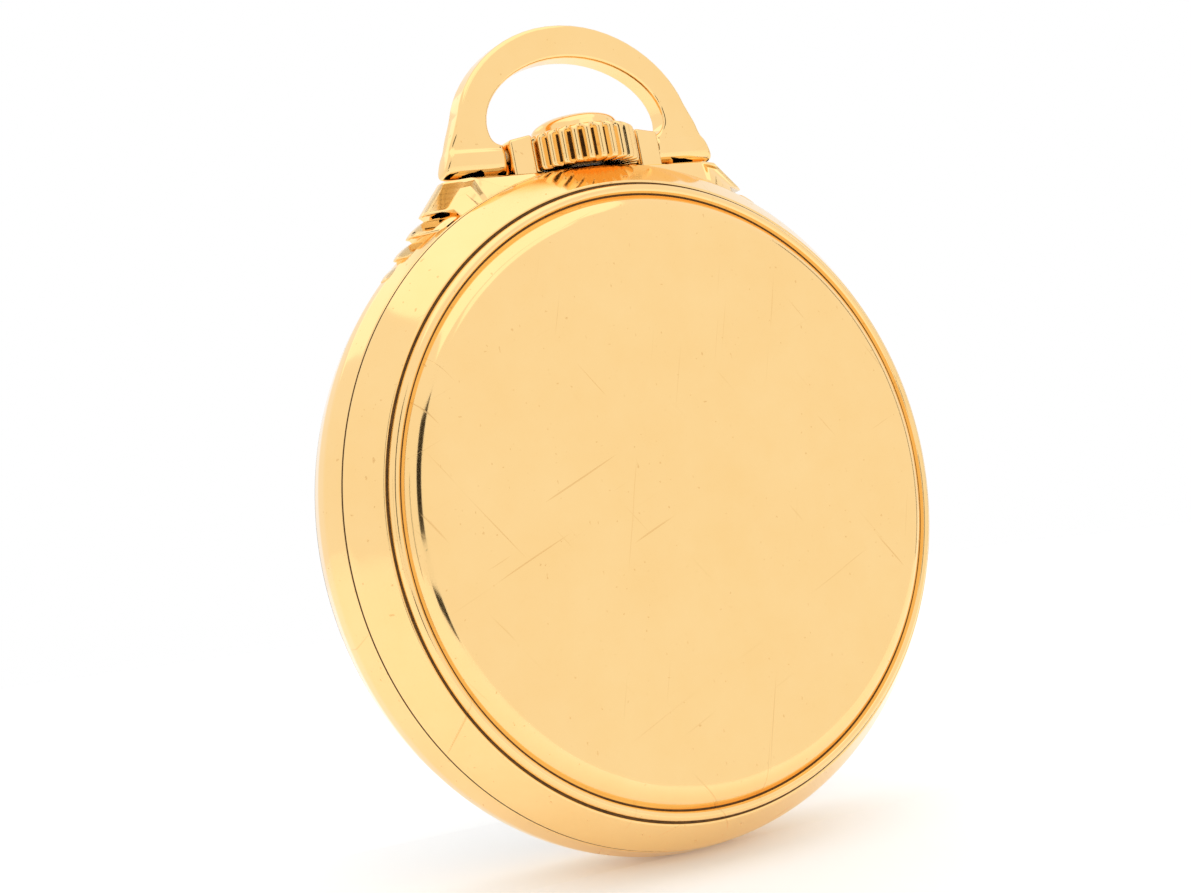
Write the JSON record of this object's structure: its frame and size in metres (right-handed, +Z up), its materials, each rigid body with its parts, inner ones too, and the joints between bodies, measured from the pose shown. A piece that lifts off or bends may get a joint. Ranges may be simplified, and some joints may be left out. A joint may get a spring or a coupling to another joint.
{
  "type": "pocket watch",
  "caption": "Open-face pocket watch: polished gold-filled case with screw back and bezel, ribbed shoulders, stirrup bow, fluted crown and a jewelled lever movement.",
  "frame": {"origin": "lowest point of the case rim, halfway through the case's thickness, with the watch hanging upright", "axes": "+Z up through the crown and the top of the bow, +Y out of the flat back, -Y out of the crystal, +X to the right seen from the dial"},
  "size_m": [0.0508, 0.012, 0.0613],
  "materials": {
    "gold_case": "mirror-polished yellow gold-filled",
    "crystal": "clear polished watch glass",
    "gilt_brass": "gilt, fine circular grain",
    "nickel_plate": "nickel-plated, striped",
    "polished_steel": "polished steel",
    "blued_steel": "heat-blued polished steel",
    "ruby_jewel": "polished synthetic ruby",
    "enamel_dial": "fired white enamel"
  },
  "bodies": {
    "case": {"case_band": "gold_case", "pendant_sleeve": "polished_steel", "main_plate": "nickel_plate", "barrel_bridge": "nickel_plate", "train_bridge": "nickel_plate", "balance_cock": "nickel_plate", "pallet_bridge": "nickel_plate", "centre_jewel": "ruby_jewel", "third_jewel": "ruby_jewel", "fourth_jewel": "ruby_jewel", "escape_jewel": "ruby_jewel", "balance_jewel": "ruby_jewel", "barrel_bridge_screw_1": "blued_steel", "barrel_bridge_screw_2": "blued_steel", "train_bridge_screw_1": "blued_steel", "train_bridge_screw_2": "blued_steel", "balance_cock_screw": "blued_steel", "case_screw_1": "polished_steel", "case_screw_2": "polished_steel", "crown_wheel_screw": "polished_steel", "click_screw": "blued_steel", "click_spring": "blued_steel", "hairspring": "blued_steel", "dial": "enamel_dial"},
    "bow": {"bow": "gold_case", "bow_pin_left": "polished_steel", "bow_pin_right": "polished_steel"},
    "back": {"back_cover": "gold_case"},
    "front": {"bezel": "gold_case", "crystal": "crystal"},
    "winding": {"winding_pinion": "polished_steel"},
    "crown": {"crown": "gold_case", "winding_stem": "polished_steel"},
    "clutch": {"clutch": "polished_steel"},
    "setting_lever": {"setting_lever": "polished_steel"},
    "yoke": {"yoke": "polished_steel"},
    "crown_wheel": {"crown_wheel": "polished_steel"},
    "ratchet": {"ratchet_wheel": "polished_steel", "barrel_arbor": "polished_steel", "ratchet_screw": "polished_steel"},
    "click": {"click": "polished_steel"},
    "barrel": {"barrel": "gilt_brass", "barrel_cover": "gilt_brass", "mainspring": "polished_steel"},
    "centre_wheel": {"centre_wheel": "gilt_brass", "cannon_pinion": "polished_steel", "minute_hand": "blued_steel"},
    "third_wheel": {"third_wheel": "gilt_brass"},
    "fourth_wheel": {"fourth_wheel": "gilt_brass", "seconds_hand": "blued_steel"},
    "escape_wheel": {"escape_wheel": "polished_steel"},
    "pallet_fork": {"pallet_fork": "polished_steel"},
    "balance": {"balance_wheel": "gilt_brass"},
    "regulator": {"regulator": "polished_steel"},
    "minute_wheel": {"minute_wheel": "gilt_brass"},
    "hour_wheel": {"hour_wheel": "gilt_brass", "hour_hand": "blued_steel"},
    "setting_wheel_lower": {"setting_wheel_lower": "polished_steel"},
    "setting_wheel_upper": {"setting_wheel_upper": "polished_steel"}
  },
  "joints": [
    {"name": "bow_swing", "type": "hinge", "parent": "case", "child": "bow", "pos_m": [0, 0, 0.0518], "axis": [1, 0, 0], "range_deg": [-90, 90]},
    {"name": "back_cover_lift", "type": "slide", "parent": "case", "child": "back", "axis": [0, 1, 0], "range_m": [0, 0.012]},
    {"name": "bezel_lift", "type": "slide", "parent": "case", "child": "front", "axis": [0, -1, 0], "range_m": [0, 0.012]},
    {"name": "crown_turn", "type": "hinge", "parent": "case", "child": "winding", "pos_m": [0, 0, 0.0434], "axis": [0, 0, 1], "continuous": true},
    {"name": "crown_pull", "type": "slide", "parent": "winding", "child": "crown", "axis": [0, 0, 1], "range_m": [0, 0.0009]},
    {"name": "clutch_slide", "type": "slide", "parent": "winding", "child": "clutch", "axis": [0, 0, 1], "range_m": [-0.0005, 0]},
    {"name": "setting_lever_rock", "type": "hinge", "parent": "case", "child": "setting_lever", "pos_m": [0.0036, 0, 0.0447], "axis": [0, 1, 0], "range_deg": [0, 18.1]},
    {"name": "yoke_rock", "type": "hinge", "parent": "case", "child": "yoke", "pos_m": [-0.0046, 0, 0.0426], "axis": [0, 1, 0], "range_deg": [0, 8.91]},
    {"name": "crown_wheel_turn", "type": "hinge", "parent": "case", "child": "crown_wheel", "pos_m": [0, 0, 0.03974], "axis": [0, 1, 0], "continuous": true},
    {"name": "ratchet_turn", "type": "hinge", "parent": "case", "child": "ratchet", "pos_m": [-0.00582, 0, 0.03285], "axis": [0, 1, 0], "continuous": true},
    {"name": "click_rock", "type": "hinge", "parent": "case", "child": "click", "pos_m": [-0.01249, 0, 0.03528], "axis": [0, 1, 0], "range_deg": [0, 8], "stiffness_Nm_per_rad": 0.000001},
    {"name": "centre_wheel_turn", "type": "hinge", "parent": "case", "child": "centre_wheel", "pos_m": [0, 0, 0.0254], "axis": [0, 1, 0], "continuous": true},
    {"name": "barrel_turn", "type": "hinge", "parent": "case", "child": "barrel", "pos_m": [-0.00582, 0, 0.03285], "axis": [0, 1, 0], "continuous": true},
    {"name": "third_wheel_turn", "type": "hinge", "parent": "case", "child": "third_wheel", "pos_m": [0.00281, 0, 0.01956], "axis": [0, 1, 0], "continuous": true},
    {"name": "fourth_wheel_turn", "type": "hinge", "parent": "case", "child": "fourth_wheel", "pos_m": [0, 0, 0.0149], "axis": [0, 1, 0], "continuous": true},
    {"name": "escape_wheel_turn", "type": "hinge", "parent": "case", "child": "escape_wheel", "pos_m": [-0.00407, 0, 0.01136], "axis": [0, 1, 0], "continuous": true},
    {"name": "pallet_rock", "type": "hinge", "parent": "case", "child": "pallet_fork", "pos_m": [-0.00677, 0, 0.0139], "axis": [0, 1, 0], "range_deg": [-5, 5]},
    {"name": "balance_swing", "type": "hinge", "parent": "case", "child": "balance", "pos_m": [-0.0105, 0, 0.0174], "axis": [0, 1, 0], "range_deg": [-270, 270], "stiffness_Nm_per_rad": 0.0000015},
    {"name": "regulator_turn", "type": "hinge", "parent": "case", "child": "regulator", "pos_m": [-0.0105, 0, 0.0174], "axis": [0, 1, 0], "range_deg": [-12, 12]},
    {"name": "minute_wheel_turn", "type": "hinge", "parent": "case", "child": "minute_wheel", "pos_m": [0, 0, 0.0294], "axis": [0, 1, 0], "continuous": true},
    {"name": "hour_wheel_turn", "type": "hinge", "parent": "case", "child": "hour_wheel", "pos_m": [0, 0, 0.0254], "axis": [0, 1, 0], "continuous": true},
    {"name": "setting_wheel_lower_turn", "type": "hinge", "parent": "case", "child": "setting_wheel_lower", "pos_m": [0, 0, 0.0346], "axis": [0, 1, 0], "continuous": true},
    {"name": "setting_wheel_upper_turn", "type": "hinge", "parent": "case", "child": "setting_wheel_upper", "pos_m": [0, 0, 0.039], "axis": [0, 1, 0], "continuous": true}
  ],
  "couplings": [
    {"joint": "clutch_slide", "follows": "crown_pull", "ratio": -0.55556},
    {"joint": "setting_lever_rock", "follows": "crown_pull", "rad_per_m": 349.06},
    {"joint": "yoke_rock", "follows": "crown_pull", "rad_per_m": 170.81},
    {"joint": "crown_wheel_turn", "follows": "crown_turn", "ratio": -0.38889},
    {"joint": "ratchet_turn", "follows": "crown_turn", "ratio": 0.30435},
    {"joint": "barrel_turn", "follows": "centre_wheel_turn", "ratio": -0.16667},
    {"joint": "third_wheel_turn", "follows": "centre_wheel_turn", "ratio": -8},
    {"joint": "fourth_wheel_turn", "follows": "centre_wheel_turn", "ratio": 60},
    {"joint": "escape_wheel_turn", "follows": "centre_wheel_turn", "ratio": -600},
    {"joint": "minute_wheel_turn", "follows": "centre_wheel_turn", "ratio": -0.33333},
    {"joint": "hour_wheel_turn", "follows": "centre_wheel_turn", "ratio": 0.083333},
    {"joint": "setting_wheel_lower_turn", "follows": "centre_wheel_turn", "ratio": 0.45455},
    {"joint": "setting_wheel_upper_turn", "follows": "centre_wheel_turn", "ratio": -0.45455}
  ]
}
